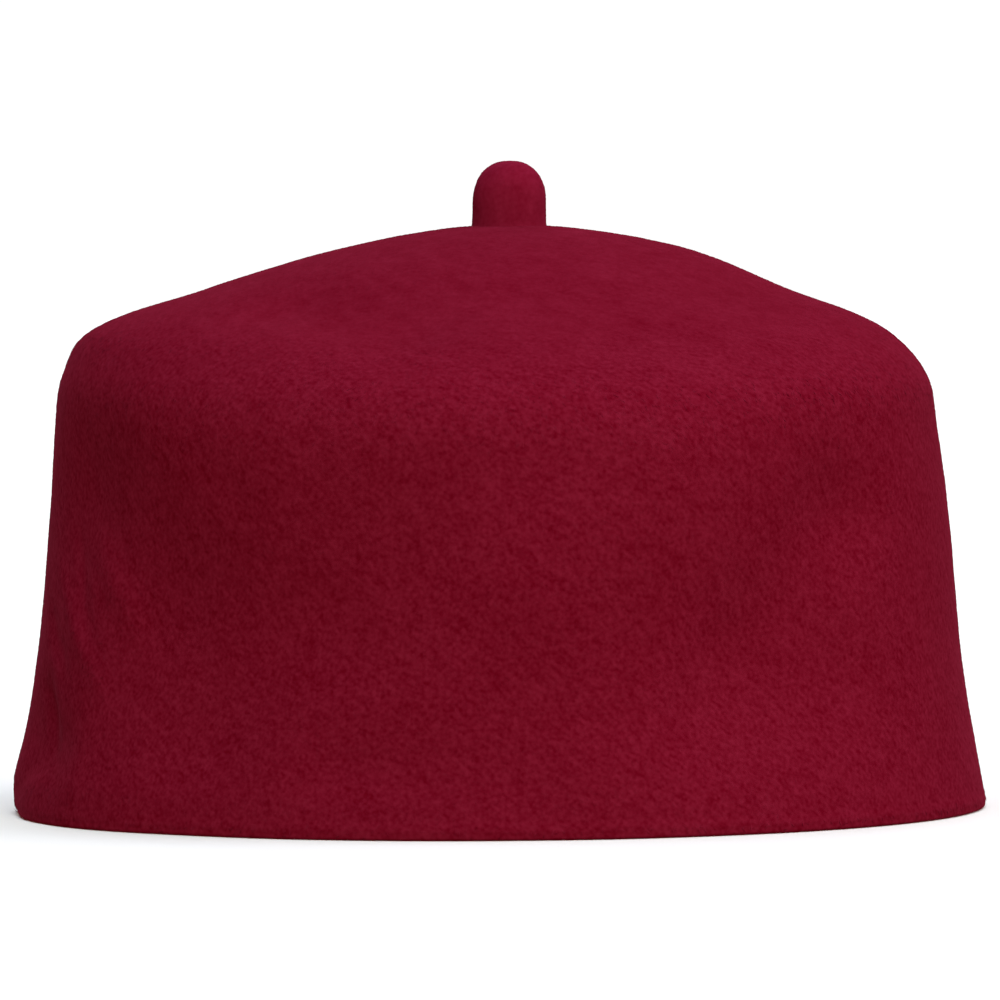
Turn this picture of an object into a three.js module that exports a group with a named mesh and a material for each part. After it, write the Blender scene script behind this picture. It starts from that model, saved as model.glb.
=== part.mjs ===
// A felt fez cap: one moulded piece of wool felt, side wall and crown together, hollow and open below,
// with a short round-topped felt nub on the middle of the crown.
// Millimetres, +Z up. The front faces -Y, and the origin is the middle of the rim, level with its underside.

import * as THREE from "three";
import { LoftGeometry } from "three/addons/geometries/LoftGeometry.js";

// The felt
const WALL = 2.6; // thickness of the body's felt
const RIM_ROUND_OUTSIDE = 1.3; // rounding of the rim's outer edge
const RIM_ROUND_INSIDE = 0.4; // and of its inner edge: the flat ring between them rests on a table
const FELT_COLOUR = 0x74101f;
const FELT_ROUGHNESS = 0.95;

// The nub
const NUB_RADIUS = 7.25;
const NUB_STRAIGHT = 5.0; // height of its straight side
const NUB_DOME = 7.3; // height of its rounded top
const NUB_DISH = 0.4; // hollow of its underside, which follows the crown
const NUB_SEAT_GAP = 0.3; // clearance between the nub and the crown

// Level sections of the body's outside, from the top of the rim's rounding to the middle of the crown.
// A section is an oval: centre and halfWidth run across it, front and back are its reaches along it.
// The crown leans a little to the left, its front shoulder is lower and softer, and its top is to the right.
const SECTIONS = [
  { height: 1.3, centre: 0.0, halfWidth: 94.7, front: 99.6, back: 99.2 },
  { height: 7.0, centre: -0.4, halfWidth: 94.1, front: 98.8, back: 98.6 },
  { height: 14.0, centre: -0.2, halfWidth: 92.7, front: 97.2, back: 97.2 },
  { height: 24.0, centre: 0.0, halfWidth: 90.9, front: 95.4, back: 95.4 },
  { height: 36.0, centre: 0.1, halfWidth: 89.4, front: 93.8, back: 93.8 },
  { height: 50.0, centre: 0.2, halfWidth: 88.2, front: 92.5, back: 92.5 },
  { height: 64.0, centre: 0.1, halfWidth: 86.9, front: 91.0, back: 91.2 },
  { height: 75.0, centre: -0.3, halfWidth: 85.8, front: 89.4, back: 90.0 },
  { height: 82.0, centre: -0.4, halfWidth: 85.0, front: 85.8, back: 88.4 },
  { height: 87.0, centre: -0.9, halfWidth: 83.0, front: 79.8, back: 85.2 },
  { height: 91.0, centre: -1.8, halfWidth: 80.2, front: 73.0, back: 80.4 },
  { height: 94.0, centre: -2.2, halfWidth: 76.4, front: 66.8, back: 75.2 },
  { height: 97.0, centre: -2.0, halfWidth: 69.7, front: 60.4, back: 67.8 },
  { height: 101.0, centre: -1.0, halfWidth: 57.6, front: 51.4, back: 56.6 },
  { height: 105.0, centre: 0.7, halfWidth: 46.9, front: 42.2, back: 46.0 },
  { height: 108.5, centre: 2.1, halfWidth: 35.9, front: 32.8, back: 35.2 },
  { height: 111.3, centre: 2.6, halfWidth: 24.0, front: 22.4, back: 23.6 },
  { height: 113.1, centre: 2.6, halfWidth: 12.2, front: 11.8, back: 12.0 },
  { height: 113.9, centre: 2.6, halfWidth: 0.0, front: 0.0, back: 0.0 },
];

// Dents of the felt, each along a line between two places on the body. An angle is in degrees round the body
// from the front, to the right. A dent sinks in by its depth, and a bulge's depth is negative.
// Reach is how far it spreads from its line.
const DENTS = [
  { name: "left hollow", fromAngle: -64, fromHeight: 60, toAngle: -31, toHeight: 41, reach: 13, depth: 3.4 },
  { name: "left low", fromAngle: -46, fromHeight: 33, toAngle: -38, toHeight: 20, reach: 12, depth: 2.4 },
  { name: "flare hollow", fromAngle: -76, fromHeight: 17, toAngle: -67, toHeight: 13, reach: 6, depth: 1.3 },
  { name: "mid hollow", fromAngle: -18, fromHeight: 42, toAngle: -15, toHeight: 51, reach: 10, depth: 1.7 },
  { name: "front groove", fromAngle: -18, fromHeight: 12, toAngle: 4, toHeight: 10, reach: 6, depth: 1.2 },
  { name: "front bulge", fromAngle: 5, fromHeight: 47, toAngle: 22, toHeight: 66, reach: 10, depth: -1.5 },
  { name: "right hollow", fromAngle: 47, fromHeight: 56, toAngle: 31, toHeight: 37, reach: 9.5, depth: 3.2 },
  { name: "right low", fromAngle: 27, fromHeight: 23, toAngle: 44, toHeight: 28, reach: 10, depth: 2.5 },
  { name: "crown hollow", fromAngle: -34, fromHeight: 98.5, toAngle: -12, toHeight: 95, reach: 8, depth: 2 },
  { name: "back hollow", fromAngle: 150, fromHeight: 68, toAngle: 176, toHeight: 56, reach: 11, depth: 2 },
  { name: "back low", fromAngle: -150, fromHeight: 50, toAngle: -138, toHeight: 26, reach: 12, depth: 1.8 },
];

// Facets
const SIDES = 72; // round the body
const OUTSIDE_STEPS = 2; // rows of facets from each section to the next
const INSIDE_STEPS = 1;
const RIM_STEPS = 3; // rows of facets on each rounding of the rim
const NUB_SIDES = 28;
const NUB_DOME_STEPS = 7;

const DEGREE = Math.PI / 180;
const LAST_SECTION = SECTIONS.length - 1;
const ANGLES = Array.from({ length: SIDES }, (_, side) => (side * 2 * Math.PI) / SIDES);

// A smooth curve through one column of the sections, with the column along x and the height along y.
function columnCurve(column) {
  return new THREE.SplineCurve(SECTIONS.map((row) => new THREE.Vector2(row[column], row.height)));
}

const CENTRE = columnCurve("centre");
const HALF_WIDTH = columnCurve("halfWidth");
const FRONT = columnCurve("front");
const BACK = columnCurve("back");

// A point of the undented outside. The place runs from 0 at the rim's section to LAST_SECTION at the top.
function smoothPoint(place, angle) {
  const along = place / LAST_SECTION;
  const reach = Math.cos(angle) > 0 ? FRONT : BACK;
  const { x: centre, y: height } = CENTRE.getPoint(along);
  return new THREE.Vector3(
    centre + HALF_WIDTH.getPoint(along).x * Math.sin(angle),
    -reach.getPoint(along).x * Math.cos(angle),
    height,
  );
}

// The direction that faces out of the felt there. At the top of the crown it is straight up.
function outward(place, angle) {
  const step = 0.01;
  const below = Math.max(place - step, 0);
  const above = Math.min(place + step, LAST_SECTION);
  const rise = smoothPoint(above, angle).sub(smoothPoint(below, angle));
  const round = smoothPoint(place, angle + step).sub(smoothPoint(place, angle - step));
  const facing = round.cross(rise);
  return place === LAST_SECTION ? new THREE.Vector3(0, 0, 1) : facing.normalize();
}

// The place of a height on the outside, found by halving, because heights rise all the way from the rim.
function placeOfHeight(height) {
  let low = 0;
  let high = LAST_SECTION;
  while (high - low > 0.001) {
    const middle = (low + high) / 2;
    if (smoothPoint(middle, 0).z < height) {
      low = middle;
    } else {
      high = middle;
    }
  }
  return low;
}

const DENT_LINES = DENTS.map((dent) => ({
  line: new THREE.Line3(
    smoothPoint(placeOfHeight(dent.fromHeight), dent.fromAngle * DEGREE),
    smoothPoint(placeOfHeight(dent.toHeight), dent.toAngle * DEGREE),
  ),
  reach: dent.reach,
  depth: dent.depth,
}));

// How far the felt is pushed in at a point of the outside, fading smoothly away from each dent's line.
function dentDepth(point) {
  const nearest = new THREE.Vector3();
  let depth = 0;
  for (const dent of DENT_LINES) {
    dent.line.closestPointToPoint(point, true, nearest);
    const away = point.distanceTo(nearest) / dent.reach;
    depth += dent.depth * Math.exp(-0.5 * away * away);
  }
  return depth;
}

// A point of the felt, at a depth below its dented outside.
function feltPoint(place, angle, depth) {
  const point = smoothPoint(place, angle);
  return point.addScaledVector(outward(place, angle), -dentDepth(point) - depth);
}

function feltRing(place, depth) {
  return ANGLES.map((angle) => feltPoint(place, angle, depth));
}

// The rim's cross-section from its inside to its outside, as depths below the outside and heights.
function rimProfile() {
  const quarter = Math.PI / 2;
  const inner = new THREE.Path();
  inner.absarc(WALL - RIM_ROUND_INSIDE, RIM_ROUND_INSIDE, RIM_ROUND_INSIDE, 0, -quarter, true);
  const outer = new THREE.Path();
  outer.absarc(RIM_ROUND_OUTSIDE, RIM_ROUND_OUTSIDE, RIM_ROUND_OUTSIDE, -quarter, -2 * quarter, true);
  return [...inner.getPoints(RIM_STEPS), ...outer.getPoints(RIM_STEPS).slice(0, -1)];
}

function rimRing({ x: depth, y: height }) {
  return ANGLES.map((angle) => feltPoint(0, angle, depth).setZ(height));
}

// The rings of one face of the felt, from the rim's section to the top.
function feltRings(steps, depth) {
  const rows = LAST_SECTION * steps + 1;
  return Array.from({ length: rows }, (_, row) => feltRing(row / steps, depth));
}

// The body's rings run down the inside from the top, under the rim and up the outside to the top.
function capBodyGeometry() {
  const inside = feltRings(INSIDE_STEPS, WALL).reverse();
  const outside = feltRings(OUTSIDE_STEPS, 0);
  return new LoftGeometry([...inside, ...rimProfile().map(rimRing), ...outside]);
}

// The nub is turned about its own axis: a dished foot, a straight side and a rounded top.
function nubGeometry() {
  const dome = new THREE.EllipseCurve(0, NUB_STRAIGHT, NUB_RADIUS, NUB_DOME, 0, Math.PI / 2);
  const domePoints = dome.getPoints(NUB_DOME_STEPS);
  domePoints.at(-1).setX(0);
  const profile = [new THREE.Vector2(0, NUB_DISH), new THREE.Vector2(NUB_RADIUS, 0), ...domePoints];
  return new THREE.LatheGeometry(profile, NUB_SIDES).rotateX(Math.PI / 2);
}

function feltMesh(name, geometry) {
  const felt = new THREE.MeshStandardMaterial({
    color: FELT_COLOUR,
    roughness: FELT_ROUGHNESS,
    metalness: 0,
  });
  const mesh = new THREE.Mesh(geometry, felt);
  mesh.name = name;
  return mesh;
}

const capBody = feltMesh("cap_body", capBodyGeometry());

const nub = feltMesh("nub", nubGeometry());
nub.position.copy(feltPoint(LAST_SECTION, 0, 0));
nub.position.z += NUB_SEAT_GAP - NUB_DISH;

const cap = new THREE.Group();
cap.add(capBody, nub);

export default cap;
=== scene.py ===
"""The looks of a felt fez cap: soft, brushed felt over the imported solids, on a pale floor in soft light."""

import math

import bpy
import numpy as np
from mathutils import Matrix, Vector, noise


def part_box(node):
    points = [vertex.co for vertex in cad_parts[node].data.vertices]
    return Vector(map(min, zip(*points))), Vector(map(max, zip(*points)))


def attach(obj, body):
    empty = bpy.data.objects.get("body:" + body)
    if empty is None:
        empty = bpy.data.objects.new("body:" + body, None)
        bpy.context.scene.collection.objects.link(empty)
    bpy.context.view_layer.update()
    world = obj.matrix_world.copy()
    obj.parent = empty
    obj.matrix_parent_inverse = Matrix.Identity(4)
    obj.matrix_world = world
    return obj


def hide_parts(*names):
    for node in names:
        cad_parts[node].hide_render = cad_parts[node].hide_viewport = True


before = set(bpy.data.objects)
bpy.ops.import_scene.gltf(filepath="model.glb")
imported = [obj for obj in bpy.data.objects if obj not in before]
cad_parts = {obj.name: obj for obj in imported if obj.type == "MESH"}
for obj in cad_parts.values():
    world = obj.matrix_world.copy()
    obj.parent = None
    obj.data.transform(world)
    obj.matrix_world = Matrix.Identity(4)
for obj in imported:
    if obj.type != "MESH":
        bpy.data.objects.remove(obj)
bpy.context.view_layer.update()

MM = 0.001

# The body's fine mesh
FINE_SIDES = 440
OUTSIDE_STEP = 1.4 * MM  # largest step between its rows on the outside
INSIDE_STEP = 6.0 * MM  # on the inside
RIM_STEP = 0.2 * MM  # and at the rim
RIM_HEIGHT = 3.0 * MM  # gaps between the solid's rings that are lower than this belong to the rim
SOLID_EDGE = 1.3 * MM  # rounding of the rim's outer edge on the solid
FELT_EDGE = 0.6 * MM  # and on the felt, whose edge is crisper
SAME_DECIMALS = 7  # corners of a solid that agree to as many decimals of a metre are one
TINY = 1e-12  # stands in for a length of nothing, which can't divide

# Soft unevenness of the felt, as waves of these sizes and heights
UNEVENNESS = [
    {"size": 26 * MM, "height": 0.20 * MM},
    {"size": 11 * MM, "height": 0.09 * MM},
    {"size": 5.5 * MM, "height": 0.045 * MM},
]
UNEVEN_FROM = 1.5 * MM  # the felt is even below this height
UNEVEN_ABOVE = 9 * MM  # and fully uneven above this one

# Fine creases of the wall, between two places given as an angle and a height. An angle is in degrees
# round the body from the front, to the right. Sizes are in millimetres, and a ridge's depth is negative.
# A place with a negative height is straight below the rim, and its crease tilts or rounds the lowest wall.
CREASES = [
    {"from": (-78, 52), "to": (-54, 22), "width": 1.6, "depth": -0.60},
    {"from": (-80, 43), "to": (-65, 27), "width": 1.8, "depth": 0.75},
    {"from": (-72, 58), "to": (-60, 32), "width": 1.6, "depth": 0.50},
    {"from": (-66, 57), "to": (-50, 34), "width": 2.2, "depth": -0.65},
    {"from": (-44, 74), "to": (-30, 58), "width": 2.6, "depth": 0.30},
    {"from": (-76, 28), "to": (-68, 13), "width": 2.4, "depth": 1.30},
    {"from": (-92, 17), "to": (-58, 13), "width": 5.0, "depth": 0.60},
    {"from": (-66, 16), "to": (-86, 3), "width": 2.4, "depth": 0.60},
    {"from": (-80, -4), "to": (-40, -4), "width": 7.0, "depth": -1.30},
    {"from": (-104, -1.5), "to": (-78, -1.5), "width": 1.6, "depth": 2.40},
    {"from": (-12, 13), "to": (24, 12), "width": 5.0, "depth": -0.60},
    {"from": (38, 60), "to": (60, 60), "width": 7.0, "depth": 1.00},
]
CREASE_STEPS = 8  # straight steps of a crease's line round the wall
CREASE_END = 0.04  # share of its length, at each end, in which it fades no further

# The nub's fine mesh
NUB_SIDES = 96
NUB_ROWS = 60
NUB_BARE_ROWS = 4  # the lowest rows, which have no nap
NUB_SINK = 0.6 * MM  # how far its foot goes into the crown's felt
NUB_FLARE = 0.06 * MM  # how far the foot spreads at the crown
NUB_FLARE_MOST = 0.12 * MM  # and at its sunken end
NUB_FLARE_HEIGHT = 0.5 * MM  # how high the spread reaches up the side
NUB_RISE = 0.15 * MM  # how far its felt stands above the solid
NUB_LEAN = 0.25 * MM  # how far its top leans to the right
NUB_DOME = 9.0 * MM  # height of its rounded top
NUB_FULLNESS = 2.3  # 2 makes its top half an oval, and more makes it fuller
NUB_UNEVENNESS = [
    {"size": 7 * MM, "height": 0.14 * MM},
    {"size": 3 * MM, "height": 0.05 * MM},
]

# The nap: short locks of fibres, brushed down to the right
BODY_LOCKS = 125000
NUB_LOCKS = 2500
LOCKS_A_PIECE = 33000
LOCK_LENGTH = (0.7 * MM, 1.9 * MM)
LOCK_WIDTH = (0.16 * MM, 0.36 * MM)
LOCK_HEIGHT = (0.03 * MM, 0.08 * MM)  # how high its middle stands off the felt
LOCK_MIDDLE = (0.35, 0.65)  # where its middle is, as a share of its length from the root
LOCK_SINK = 0.03 * MM  # how far its edge and ends are sunk
LOCK_ROUND = 0.10  # how much its two sides catch the light apart
NUB_LOCK_SIZE = 0.5  # the nub's locks, beside the body's
LOCK_CELL_EDGE = 0.1  # bare edge of a lock's cell in the flat map
COMB_ANGLE = 57.0  # degrees below level
COMB_SPREAD = 55.0  # and how far single locks stray from it
WALL_RADIUS = 90 * MM  # of the wall that the combed nap winds down
SHADE_MIDDLE = 0.5  # the locks' middle shade
SHADE_SPREAD = 0.25  # and how much the shade differs from lock to lock
NAP_FLOOR = 0.15 * MM  # no lock reaches lower than this
SEED = 7

# The felt's colours
FELT_DARK = (0.123, 0.0011, 0.0073)
FELT_LIGHT = (0.182, 0.0066, 0.0202)
LOCK_DARK = (0.126, 0.0014, 0.0081)
LOCK_LIGHT = (0.186, 0.0076, 0.0219)
NUB_DARK = (0.147, 0.0024, 0.0118)
NUB_LIGHT = (0.214, 0.0092, 0.0283)

# The felt's texture: noise at four sizes, across and along the nap. The grain is the same in all
# directions, and the crown is smoother than the wall.
PATCHES = {"across": 30 * MM, "along": 40 * MM, "detail": 2}
MOTTLING = {"across": 4.5 * MM, "along": 8 * MM, "detail": 2}
TUFTS = {"across": 1.6 * MM, "along": 2.0 * MM, "detail": 1}
GRAIN = {"across": 0.8 * MM, "along": 0.8 * MM, "detail": 0.5}
NOISE_ROUGHNESS = 0.6
MOTTLING_SHARE = 0.6  # beside the patches
GRAIN_SHARE = 0.55  # beside the tufts
CROWN_FINE = 0.45  # share of tufts and grain in the crown's texture
WALL_FINE = 0.75  # and in the wall's
LOCK_SHARE = 0.08  # share of each lock's own shade
CROWN_CONTRAST = 0.72  # contrast of the crown's texture
WALL_CONTRAST = 1.0  # and of the wall's
CROWN_EDGE = (-30 * MM, 5 * MM)  # where the crown ends and the wall begins, down along the combed nap
TONE_MIDDLE = 0.5
TONE_DARK = 0.35  # the texture's tone that gets the dark colour
TONE_LIGHT = 0.65  # and the light one

# The felt's surface
SHEEN = {"Weight": 0.10, "Roughness": 0.35, "Tint": (0.75, 0.10, 0.18, 1)}
ROUGHNESS = (0.86, 1.0)
BUMP_STRENGTH = 0.3
BUMP_HEIGHT = 0.15 * MM

# The floor
FLOOR_REACH = 12.0
FLOOR_DROP = 0.1 * MM  # how far it lies below the rim
FLOOR_COLOUR = (0.97, 0.82, 0.73)
FLOOR_ROUGHNESS = 0.9

# The light. A lamp is far off, at an angle round from the front to the right and an angle above level.
SKY_ABOVE = (0.165, 0.090, 0.070)
SKY_BELOW = (0.375, 0.270, 0.210)
HORIZON = (1.05, 1.05, 1.05)  # the white behind the cap
HORIZON_EDGE = (0.04, 0.07)  # how high the white reaches, and where it has faded
LAMPS = [
    {"name": "key", "round": 90, "above": 30, "colour": (0.42, 0.44, 0.52)},
    {"name": "fill", "round": 5, "above": 30, "colour": (0.65, 0.75, 0.69)},
    {"name": "back", "round": 180, "above": 20, "colour": (0.30, 0.32, 0.35)},
    {"name": "top", "round": 0, "above": 90, "colour": (0.39, 0.61, 0.80)},
]
LAMP_SPREAD = 50.0  # degrees across
LAMP_ENERGY = math.pi  # makes white felt that faces a lamp of colour 1 as bright as white paper

# The camera, in front of the cap
CAMERA_DISTANCE = 1.8
CAMERA_HEIGHT = 0.1114
CAMERA_ASIDE = 0.00048
CAMERA_TILT = 1.633  # degrees down
CAMERA_ROLL = 0.403  # degrees, the top to the right
SENSOR = 36.0  # millimetres
LENS = 332.3  # millimetres


def place(angle, height, outline):
    """The point of the outside at an angle from the front and a height, on a grid of rows and sides.

    A height below the outside's last row is straight under it."""
    side = round(angle / 360 * outline.shape[1]) % outline.shape[1]
    row = np.argmin(np.abs(outline[:, side, 2] - height))
    return np.array([*outline[row, side, :2], height])


def rings_of(mesh):
    """The mesh's corners in rings by sides, from the middle of the crown's outside to its inside.

    The corners round each ring are in order from the front to the right.
    The two ends are rings of one point."""
    corners = np.zeros(len(mesh.vertices) * 3)
    mesh.vertices.foreach_get("co", corners)
    triangles = np.zeros(len(mesh.polygons) * 3, int)
    mesh.polygons.foreach_get("vertices", triangles)
    rounded = np.round(corners.reshape(-1, 3), SAME_DECIMALS)
    points, same = np.unique(rounded, axis=0, return_inverse=True)
    triangles = same.ravel()[triangles].reshape(-1, 3)
    beside = [set() for _ in points]
    for triangle in triangles:
        for corner in triangle:
            beside[corner].update(triangle)
    reached = {int(np.argmax(points[:, 2]))}
    level = set(reached)
    rings = []
    while level:
        rings.append(in_order(points[sorted(level)]))
        level = set().union(*(beside[corner] for corner in level)) - reached
        reached |= level
    sides = max(len(ring) for ring in rings)
    return np.array([ring if len(ring) == sides else np.repeat(ring, sides, 0) for ring in rings])


def in_order(ring):
    """A ring's corners in order round it, from the front to the right."""
    middle = (ring.min(0) + ring.max(0)) / 2
    half = np.maximum((ring.max(0) - ring.min(0)) / 2, TINY)
    away = (ring - middle) / half
    half_side = math.pi / len(ring)
    angle = (np.arctan2(away[:, 0], -away[:, 1]) + half_side) % (2 * math.pi)
    return ring[np.argsort(angle)]


def finer_round(rings, sides):
    """The rings with more points round each, on smooth closed curves."""
    waves = np.fft.rfft(rings, axis=1)
    return np.fft.irfft(waves, n=sides, axis=1) * (sides / rings.shape[1])


def finer_along(rings, steps):
    """The rings with more rows between them, on smooth curves.

    Each gap is cut into equal steps, no larger than the gap's own largest step."""
    gaps = np.linalg.norm(np.diff(rings, axis=0), axis=2).mean(1)
    slopes = np.diff(rings, axis=0) / gaps[:, None, None]
    before, after = gaps[:-1, None, None], gaps[1:, None, None]
    tangents = np.concatenate([
        slopes[:1],
        (slopes[:-1] * after + slopes[1:] * before) / (before + after),
        slopes[-1:],
    ])
    rows = []
    for gap in range(len(gaps)):
        count = math.ceil(gaps[gap] / steps[gap])
        for step in range(count):
            t = step / count
            rows.append(
                rings[gap] * (2 * t**3 - 3 * t**2 + 1)
                + rings[gap + 1] * (3 * t**2 - 2 * t**3)
                + tangents[gap] * gaps[gap] * (t**3 - 2 * t**2 + t)
                + tangents[gap + 1] * gaps[gap] * (t**3 - t**2)
            )
    return np.array([*rows, rings[-1]])


def facing(grid):
    """The direction out of the felt at each point of a grid, whose rows run down the outside."""
    along = np.gradient(grid, axis=0)
    across = np.roll(grid, -1, axis=1) - np.roll(grid, 1, axis=1)
    out = np.cross(along, across)
    length = np.linalg.norm(out, axis=2, keepdims=True)
    return out / np.maximum(length, TINY)


def waves_at(points, waves):
    """The height of soft random waves at each of some points."""
    height = np.zeros(len(points))
    for wave in waves:
        at = points / wave["size"]
        height += wave["height"] * np.array([noise.noise(Vector(point)) for point in at])
    return height


def crease_depth(points, outline):
    """How far the fine creases push in the felt at each point."""
    depth = np.zeros(len(points))
    for crease in CREASES:
        angles = np.linspace(crease["from"][0], crease["to"][0], CREASE_STEPS + 1)
        heights = np.linspace(crease["from"][1], crease["to"][1], CREASE_STEPS + 1) * MM
        line = [place(angle, height, outline) for angle, height in zip(angles, heights)]
        nearest = np.full(len(points), np.inf)
        share = np.zeros(len(points))
        for step in range(CREASE_STEPS):
            along = line[step + 1] - line[step]
            part = np.clip((points - line[step]) @ along / (along @ along), 0, 1)
            away = np.linalg.norm(points - line[step] - part[:, None] * along, axis=1)
            closer = away < nearest
            nearest[closer] = away[closer]
            share[closer] = (step + part[closer]) / CREASE_STEPS
        fade = np.sin(math.pi * np.clip(share, CREASE_END, 1 - CREASE_END))
        widths = nearest / (crease["width"] * MM)
        depth += crease["depth"] * MM * fade * np.exp(-0.5 * widths**2)
    return depth


def grid_mesh(name, grid):
    """A closed mesh over a grid of rows by sides, with its own flat map. Its two ends are single points."""
    rows, sides = grid.shape[:2]
    points = np.concatenate([grid[:1, 0], grid[1:-1].reshape(-1, 3), grid[-1:, 0]])
    side = np.arange(sides)
    following = (side + 1) % sides
    first = 1 + np.arange(rows - 3)[:, None] * sides
    second = first + sides
    quads = np.stack([first + side, second + side, second + following, first + following], -1)
    last_ring = 1 + (rows - 3) * sides
    top = np.stack([np.zeros(sides, int), 1 + side, 1 + following], -1)
    bottom = np.stack([last_ring + side, np.full(sides, len(points) - 1), last_ring + following], -1)
    mesh = bpy.data.meshes.new(name)
    faces = [*top.tolist(), *quads.reshape(-1, 4).tolist(), *bottom.tolist()]
    mesh.from_pydata(points, [], faces)
    mesh.shade_smooth()
    set_combed(mesh, points)
    across, down = side / sides, np.arange(rows) / (rows - 1)
    map_top = np.stack([
        np.stack([across + 0.5 / sides, np.full(sides, down[0])], -1),
        np.stack([across, np.full(sides, down[1])], -1),
        np.stack([across + 1 / sides, np.full(sides, down[1])], -1),
    ], 1)
    low, high = down[1:-2, None] + 0 * across, down[2:-1, None] + 0 * across
    left, right = across + 0 * low, across + 1 / sides + 0 * low
    map_quads = np.stack([
        np.stack([left, low], -1), np.stack([left, high], -1),
        np.stack([right, high], -1), np.stack([right, low], -1),
    ], 2)
    map_bottom = np.stack([
        np.stack([across, np.full(sides, down[-2])], -1),
        np.stack([across + 0.5 / sides, np.full(sides, down[-1])], -1),
        np.stack([across + 1 / sides, np.full(sides, down[-2])], -1),
    ], 1)
    flat_map = np.concatenate([map_top.ravel(), map_quads.ravel(), map_bottom.ravel()])
    layer = mesh.uv_layers.new(name="OFBake")
    layer.data.foreach_set("uv", flat_map)
    return mesh


def new_piece(name, mesh, material, slot, *replaced):
    """Adds a piece of the cap, with its material, and hides the solids it replaces. The slot is not used."""
    piece = bpy.data.objects.new(name, mesh)
    bpy.context.scene.collection.objects.link(piece)
    mesh.materials.append(material)
    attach(piece, "root")
    if replaced:
        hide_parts(*replaced)


def sharpen_rim(grid, level, first, last):
    """Moves the rounding of the rim's outer edge out, so that the felt's edge is crisper."""
    heights = np.clip(grid[first : last + 1, 0, 2], 0, SOLID_EDGE)

    def inset(radius):
        above = np.maximum(radius - heights, 0)
        return radius - np.sqrt(radius**2 - above**2)

    grid[first : last + 1] += level * (inset(SOLID_EDGE) - inset(FELT_EDGE))[:, None, None]


def body_grid():
    """The body's felt as a fine grid of rows by sides, uneven and creased, and its outside's last row."""
    rings = rings_of(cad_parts["cap_body"].data)
    lowest = int(np.argmin(rings[:, 0, 2]))
    heights = rings[:, :, 2].mean(1)
    at_rim = (heights[:-1] + heights[1:]) / 2 < RIM_HEIGHT
    outside = np.arange(len(rings) - 1) < lowest
    steps = np.where(at_rim, RIM_STEP, np.where(outside, OUTSIDE_STEP, INSIDE_STEP))
    grid = finer_along(finer_round(rings, FINE_SIDES), steps)
    last = int(np.argmin(grid[:, 0, 2]))
    edge = int(np.argmax(grid[:, 0, 2] < SOLID_EDGE))
    out = facing(grid)
    level = out[edge] * (1, 1, 0)
    level /= np.linalg.norm(level, axis=1, keepdims=True)
    out[edge : last + 1] = level
    sharpen_rim(grid, level, edge, last)
    skin = grid[1 : last + 1]
    points = skin.reshape(-1, 3)
    share = np.clip((points[:, 2] - UNEVEN_FROM) / (UNEVEN_ABOVE - UNEVEN_FROM), 0, 1)
    push = waves_at(points, UNEVENNESS) * share - crease_depth(points, grid[:edge])
    grid[1 : last + 1] += out[1 : last + 1] * push.reshape(*skin.shape[:2], 1)
    grid[..., 2] = np.maximum(grid[..., 2], 0)
    return grid, last


def nub_grid():
    """The nub as a fine grid: a rounded top, a straight side and a foot that spreads into the crown."""
    low, high = (np.array(corner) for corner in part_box("nub"))
    radius = (high[0] - low[0]) / 2
    middle = (low + high) / 2
    foot = low[2] - NUB_SINK
    straight_top = high[2] + NUB_RISE - NUB_DOME
    quarter = np.linspace(0, math.pi / 2, NUB_ROWS // 2)
    dome = np.stack([np.sin(quarter), np.cos(quarter)], -1) ** (2 / NUB_FULLNESS)
    dome *= (radius, NUB_DOME)
    dome[:, 1] += straight_top
    side_heights = np.linspace(straight_top, foot, NUB_ROWS // 2 + 1)[1:]
    spread = NUB_FLARE * np.exp(-(side_heights - low[2]) / NUB_FLARE_HEIGHT)
    side = np.stack([radius + np.minimum(spread, NUB_FLARE_MOST), side_heights], -1)
    profile = np.concatenate([dome, side, [[0, foot]]])
    turn = np.arange(NUB_SIDES) * 2 * math.pi / NUB_SIDES
    grid = np.zeros((len(profile), NUB_SIDES, 3))
    lean = NUB_LEAN * (profile[:, 1:] - foot) / (high[2] - foot)
    grid[..., 0] = middle[0] + lean + profile[:, :1] * np.sin(turn)
    grid[..., 1] = middle[1] - profile[:, :1] * np.cos(turn)
    grid[..., 2] = profile[:, 1:]
    out = facing(grid)
    skin = grid[1:-1]
    push = waves_at(skin.reshape(-1, 3), NUB_UNEVENNESS).reshape(*skin.shape[:2], 1)
    grid[1:-1] += out[1:-1] * push
    return grid


def set_combed(mesh, points):
    """Gives a mesh its points' places along the combed nap, which winds down and round the wall."""
    reach = np.hypot(points[:, 0], points[:, 1])
    down = reach - points[:, 2]
    wound = down / math.tan(math.radians(COMB_ANGLE)) / WALL_RADIUS
    turn = np.arctan2(points[:, 0], -points[:, 1]) - wound
    places = np.stack([reach * np.cos(turn), reach * np.sin(turn), down], -1)
    combed = mesh.attributes.new("combed", "FLOAT_VECTOR", "POINT")
    combed.data.foreach_set("vector", places.ravel())


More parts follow.
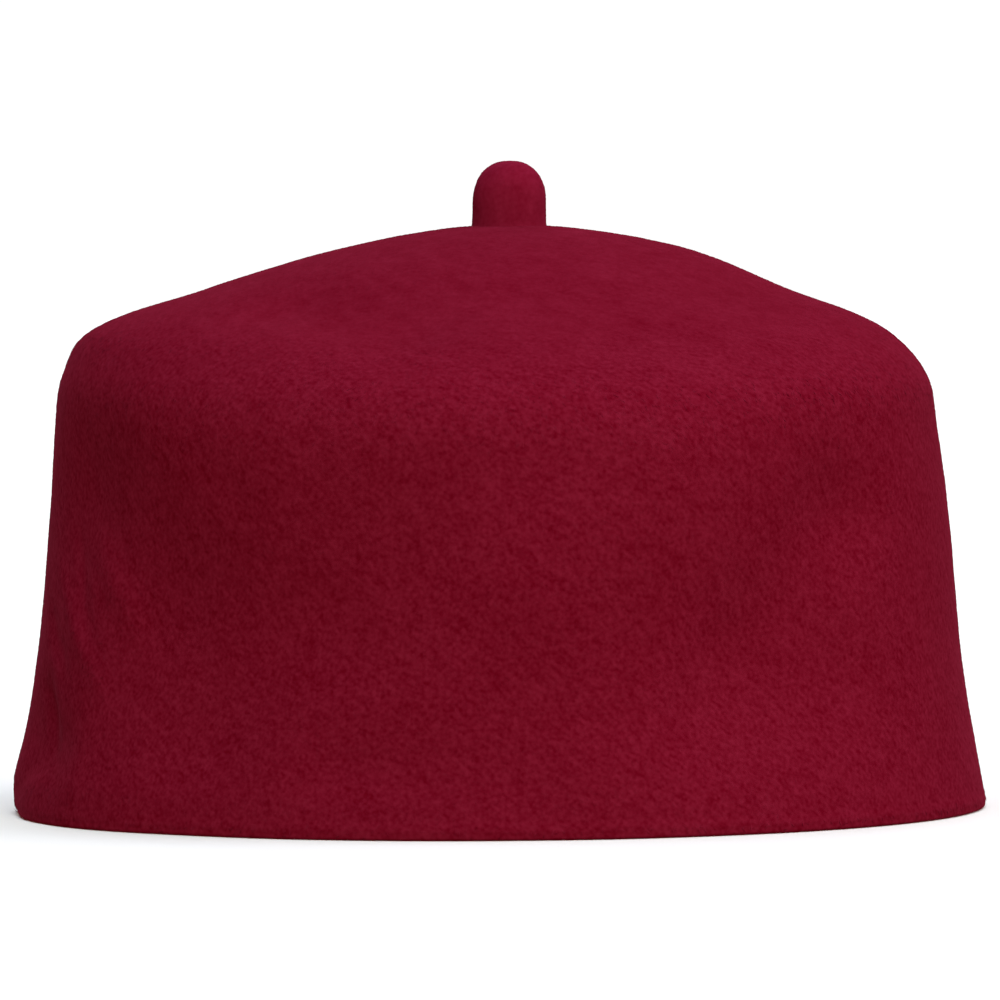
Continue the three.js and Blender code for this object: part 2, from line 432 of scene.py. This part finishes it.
def lock_mesh(name, roots, outs, combs, size, rng):
    """Short locks of fibres as one mesh, each with a shade and a cell of the flat map.

    A lock is a slim closed ridge, pointed at both ends, whose underside is sunk into the felt."""
    count = len(roots)
    length = size * rng.uniform(*LOCK_LENGTH, (count, 1))
    half_width = size * rng.uniform(*LOCK_WIDTH, (count, 1)) / 2
    height = size * rng.uniform(*LOCK_HEIGHT, (count, 1))
    middle = roots + length * rng.uniform(*LOCK_MIDDLE, (count, 1)) * combs
    aside = np.cross(outs, combs)
    sunk = -LOCK_SINK * outs
    points = np.stack([
        roots + sunk,
        roots + length * combs + sunk,
        middle + half_width * aside + sunk,
        middle - half_width * aside + sunk,
        middle + height * outs,
    ], 1)
    corners = np.array([[0, 3, 4], [0, 4, 2], [1, 4, 3], [1, 2, 4], [0, 2, 3], [1, 3, 2]])
    faces = (np.arange(count)[:, None, None] * points.shape[1] + corners).reshape(-1, 3)
    mesh = bpy.data.meshes.new(name)
    mesh.from_pydata(points.reshape(-1, 3), [], faces.tolist())
    mesh.shade_smooth()
    lit = np.stack([outs, outs, outs + LOCK_ROUND * aside, outs - LOCK_ROUND * aside, outs], 1)
    lit /= np.linalg.norm(lit, axis=2, keepdims=True)
    mesh.normals_split_custom_set_from_vertices(lit.reshape(-1, 3))
    set_combed(mesh, points.reshape(-1, 3))
    shades = np.clip(rng.normal(SHADE_MIDDLE, SHADE_SPREAD, count), 0, 1)
    shade = mesh.attributes.new("shade", "FLOAT", "POINT")
    shade.data.foreach_set("value", np.repeat(shades, points.shape[1]).astype(np.float32))
    across = math.ceil(math.sqrt(count))
    cell = np.stack([np.arange(count) % across, np.arange(count) // across], -1) / across
    near, half, far = LOCK_CELL_EDGE, 0.5, 1 - LOCK_CELL_EDGE
    spots = np.array([[half, near], [half, far], [near, half], [far, half], [half, half]]) / across
    layer = mesh.uv_layers.new(name="OFBake")
    layer.data.foreach_set("uv", (cell[:, None, None] + spots[corners]).ravel())
    return mesh


def nap_roots(grid, rows, count, rng):
    """Evenly spread random points of a grid's first rows, with their directions outward and combed."""
    cells = grid[: rows + 1]
    along = np.diff(cells, axis=0)
    across = np.roll(cells, -1, axis=1) - cells
    area = np.linalg.norm(np.cross(along, across[:-1]), axis=2).ravel()
    chosen = np.searchsorted(np.cumsum(area) / area.sum(), rng.uniform(0, 1, count))
    row, side = np.divmod(np.minimum(chosen, len(area) - 1), grid.shape[1])
    down, right = rng.uniform(0, 1, (2, count, 1))
    following = (side + 1) % grid.shape[1]
    roots = (
        cells[row, side] * (1 - down) * (1 - right)
        + cells[row + 1, side] * down * (1 - right)
        + cells[row, following] * (1 - down) * right
        + cells[row + 1, following] * down * right
    )
    outs = facing(grid)[row, side]
    level = across[row, side] + across[row + 1, side]
    level /= np.linalg.norm(level, axis=1, keepdims=True)
    downward = np.cross(level, outs)
    angle = np.radians(rng.normal(COMB_ANGLE, COMB_SPREAD, count))[:, None]
    combs = np.cos(angle) * level + np.sin(angle) * downward
    kept = roots[:, 2] + combs[:, 2] * LOCK_LENGTH[1] > NAP_FLOOR
    return roots[kept], outs[kept], combs[kept]


def add_node(tree, kind, **settings):
    """A shader node. A setting in capitals is one of its properties, and the rest are input values."""
    node = tree.nodes.new(kind)
    for key, value in settings.items():
        if key.isupper():
            setattr(node, key.lower(), value)
        else:
            node.inputs[key].default_value = value
    return node


def felt_material(name, dark, light, locks=False):
    """Brushed wool felt: mottled along the combed nap, with a fine grain, a soft sheen and some bump."""
    material = bpy.data.materials.new(name)
    material.use_nodes = True
    tree = material.node_tree
    shader = tree.nodes["Principled BSDF"]
    shader.inputs["Specular IOR Level"].default_value = 0.0
    for setting, value in SHEEN.items():
        shader.inputs[f"Sheen {setting}"].default_value = value
    combed = add_node(tree, "ShaderNodeAttribute", ATTRIBUTE_NAME="combed").outputs["Vector"]
    plain = tree.nodes.new("ShaderNodeTexCoord").outputs["Object"]
    split = tree.nodes.new("ShaderNodeSeparateXYZ")
    tree.links.new(combed, split.inputs["Vector"])

    def felt_noise(places, across, along, detail):
        stretched = add_node(tree, "ShaderNodeVectorMath", OPERATION="MULTIPLY")
        stretched.inputs[1].default_value = (1 / across, 1 / across, 1 / along)
        waves = add_node(tree, "ShaderNodeTexNoise", Scale=1.0, Detail=detail, Roughness=NOISE_ROUGHNESS)
        tree.links.new(places, stretched.inputs[0])
        tree.links.new(stretched.outputs["Vector"], waves.inputs["Vector"])
        return waves.outputs["Fac"]

    def mixed(a, b, share):
        blend = add_node(tree, "ShaderNodeMix", DATA_TYPE="FLOAT")
        for value, socket in ((a, "A"), (b, "B"), (share, "Factor")):
            if isinstance(value, bpy.types.NodeSocket):
                tree.links.new(value, blend.inputs[socket])
            else:
                blend.inputs[socket].default_value = value
        return blend.outputs["Result"]

    def from_crown(crown, wall):
        blend = add_node(tree, "ShaderNodeMapRange", **{"To Min": crown, "To Max": wall})
        blend.inputs["From Min"].default_value, blend.inputs["From Max"].default_value = CROWN_EDGE
        tree.links.new(split.outputs["Z"], blend.inputs["Value"])
        return blend.outputs["Result"]

    patches = felt_noise(combed, **PATCHES)
    mottling = felt_noise(combed, **MOTTLING)
    tufts = felt_noise(combed, **TUFTS)
    grain = felt_noise(plain, **GRAIN)
    coarse = mixed(patches, mottling, MOTTLING_SHARE)
    fine = mixed(tufts, grain, GRAIN_SHARE)
    tone = mixed(coarse, fine, from_crown(CROWN_FINE, WALL_FINE))
    if locks:
        shade = add_node(tree, "ShaderNodeAttribute", ATTRIBUTE_NAME="shade")
        tone = mixed(tone, shade.outputs["Fac"], LOCK_SHARE)
    softened = mixed(TONE_MIDDLE, tone, from_crown(CROWN_CONTRAST, WALL_CONTRAST))
    colours = tree.nodes.new("ShaderNodeValToRGB")
    low, high = colours.color_ramp.elements
    low.position, high.position = TONE_DARK, TONE_LIGHT
    low.color, high.color = (*dark, 1), (*light, 1)
    tree.links.new(softened, colours.inputs["Fac"])
    tree.links.new(colours.outputs["Color"], shader.inputs["Base Color"])
    rough = tree.nodes.new("ShaderNodeMapRange")
    rough.inputs["To Min"].default_value, rough.inputs["To Max"].default_value = ROUGHNESS
    tree.links.new(grain, rough.inputs["Value"])
    tree.links.new(rough.outputs["Result"], shader.inputs["Roughness"])
    bump = add_node(tree, "ShaderNodeBump", Strength=BUMP_STRENGTH, Distance=BUMP_HEIGHT)
    tree.links.new(fine, bump.inputs["Height"])
    tree.links.new(bump.outputs["Normal"], shader.inputs["Normal"])
    return material


def add_nap(name, grid, rows, count, size, material, slot, rng):
    """Locks of nap over the first rows of a grid, in as many pieces as they need."""
    roots, outs, combs = nap_roots(grid, rows, count, rng)
    for number, start in enumerate(range(0, len(roots), LOCKS_A_PIECE), 1):
        part = slice(start, start + LOCKS_A_PIECE)
        piece_name = f"{name}_{number}"
        mesh = lock_mesh(piece_name, roots[part], outs[part], combs[part], size, rng)
        new_piece(piece_name, mesh, material, slot)


def add_body(rng):
    """The body: side wall and crown of one piece of felt, with its nap."""
    felt = felt_material("felt", FELT_DARK, FELT_LIGHT)
    nap = felt_material("nap", LOCK_DARK, LOCK_LIGHT, locks=True)
    grid, outside_rows = body_grid()
    new_piece("felt_body", grid_mesh("felt_body", grid), felt, "body_felt", "cap_body")
    add_nap("body_nap", grid, outside_rows - 1, BODY_LOCKS, 1, nap, "body_felt", rng)


def add_nub(rng):
    """The nub on the crown, of smoother and lighter felt, with its nap."""
    felt = felt_material("nub_felt", NUB_DARK, NUB_LIGHT)
    nap = felt_material("nub_nap", NUB_DARK, NUB_LIGHT, locks=True)
    grid = nub_grid()
    new_piece("felt_nub", grid_mesh("felt_nub", grid), felt, "nub_felt", "nub")
    nap_rows = len(grid) - NUB_BARE_ROWS
    add_nap("nub_nap", grid, nap_rows, NUB_LOCKS, NUB_LOCK_SIZE, nap, "nub_felt", rng)


def add_floor():
    """A wide, pale, matte floor."""
    mesh = bpy.data.meshes.new("floor")
    near, far = -FLOOR_REACH, FLOOR_REACH
    corners = [(near, near, 0), (far, near, 0), (far, far, 0), (near, far, 0)]
    mesh.from_pydata(corners, [], [(0, 1, 2, 3)])
    floor = bpy.data.objects.new("floor", mesh)
    floor.location.z = -FLOOR_DROP
    bpy.context.scene.collection.objects.link(floor)
    pale = bpy.data.materials.new("pale_floor")
    pale.use_nodes = True
    shader = pale.node_tree.nodes["Principled BSDF"]
    shader.inputs["Base Color"].default_value = (*FLOOR_COLOUR, 1)
    shader.inputs["Roughness"].default_value = FLOOR_ROUGHNESS
    mesh.materials.append(pale)
    floor.visible_diffuse = False  # it throws no light back on the felt


def add_sky():
    """Soft light from above and, off the floor, from below, with white behind the cap at the horizon."""
    world = bpy.data.worlds.new("studio")
    world.use_nodes = True
    tree = world.node_tree
    where = tree.nodes.new("ShaderNodeTexCoord")
    split = tree.nodes.new("ShaderNodeSeparateXYZ")
    away = add_node(tree, "ShaderNodeMath", OPERATION="ABSOLUTE")
    over = add_node(tree, "ShaderNodeMath", OPERATION="GREATER_THAN")
    over.inputs[1].default_value = 0
    sky = add_node(tree, "ShaderNodeMix", DATA_TYPE="RGBA")
    sky.inputs["A"].default_value = (*SKY_BELOW, 1)
    sky.inputs["B"].default_value = (*SKY_ABOVE, 1)
    fade = add_node(tree, "ShaderNodeMapRange", INTERPOLATION_TYPE="SMOOTHSTEP")
    fade.inputs["From Min"].default_value, fade.inputs["From Max"].default_value = HORIZON_EDGE
    colour = add_node(tree, "ShaderNodeMix", DATA_TYPE="RGBA")
    colour.inputs["A"].default_value = (*HORIZON, 1)
    tree.links.new(where.outputs["Generated"], split.inputs["Vector"])
    tree.links.new(split.outputs["Z"], away.inputs[0])
    tree.links.new(split.outputs["Z"], over.inputs[0])
    tree.links.new(over.outputs["Value"], sky.inputs["Factor"])
    tree.links.new(sky.outputs["Result"], colour.inputs["B"])
    tree.links.new(away.outputs["Value"], fade.inputs["Value"])
    tree.links.new(fade.outputs["Result"], colour.inputs["Factor"])
    tree.links.new(colour.outputs["Result"], tree.nodes["Background"].inputs["Color"])
    bpy.context.scene.world = world


def add_lamp(name, turn, rise, colour):
    """A wide, soft lamp, far away."""
    lamp = bpy.data.lights.new(name, "SUN")
    lamp.energy = LAMP_ENERGY
    lamp.color = colour
    lamp.angle = math.radians(LAMP_SPREAD)
    turn, rise = math.radians(turn), math.radians(rise)
    level = math.cos(rise)
    towards = Vector((math.sin(turn) * level, -math.cos(turn) * level, math.sin(rise)))
    holder = bpy.data.objects.new(name, lamp)
    holder.rotation_euler = towards.to_track_quat("Z", "Y").to_euler()
    bpy.context.scene.collection.objects.link(holder)


def add_camera():
    """The camera, level with the crown in front of the cap and turned down a little."""
    data = bpy.data.cameras.new("camera")
    data.sensor_width = SENSOR
    data.lens = LENS
    camera = bpy.data.objects.new("camera", data)
    camera.location = (CAMERA_ASIDE, -CAMERA_DISTANCE, CAMERA_HEIGHT)
    look = Matrix.Rotation(math.radians(90 - CAMERA_TILT), 3, "X")
    roll = Matrix.Rotation(-math.radians(CAMERA_ROLL), 3, "Z")
    camera.rotation_euler = (look @ roll).to_euler()
    bpy.context.scene.collection.objects.link(camera)
    bpy.context.scene.camera = camera


random = np.random.default_rng(SEED)
add_body(random)
add_nub(random)
add_floor()
add_sky()
for lamp in LAMPS:
    add_lamp(lamp["name"], lamp["round"], lamp["above"], lamp["colour"])
add_camera()
bpy.context.scene.view_settings.view_transform = "Standard"
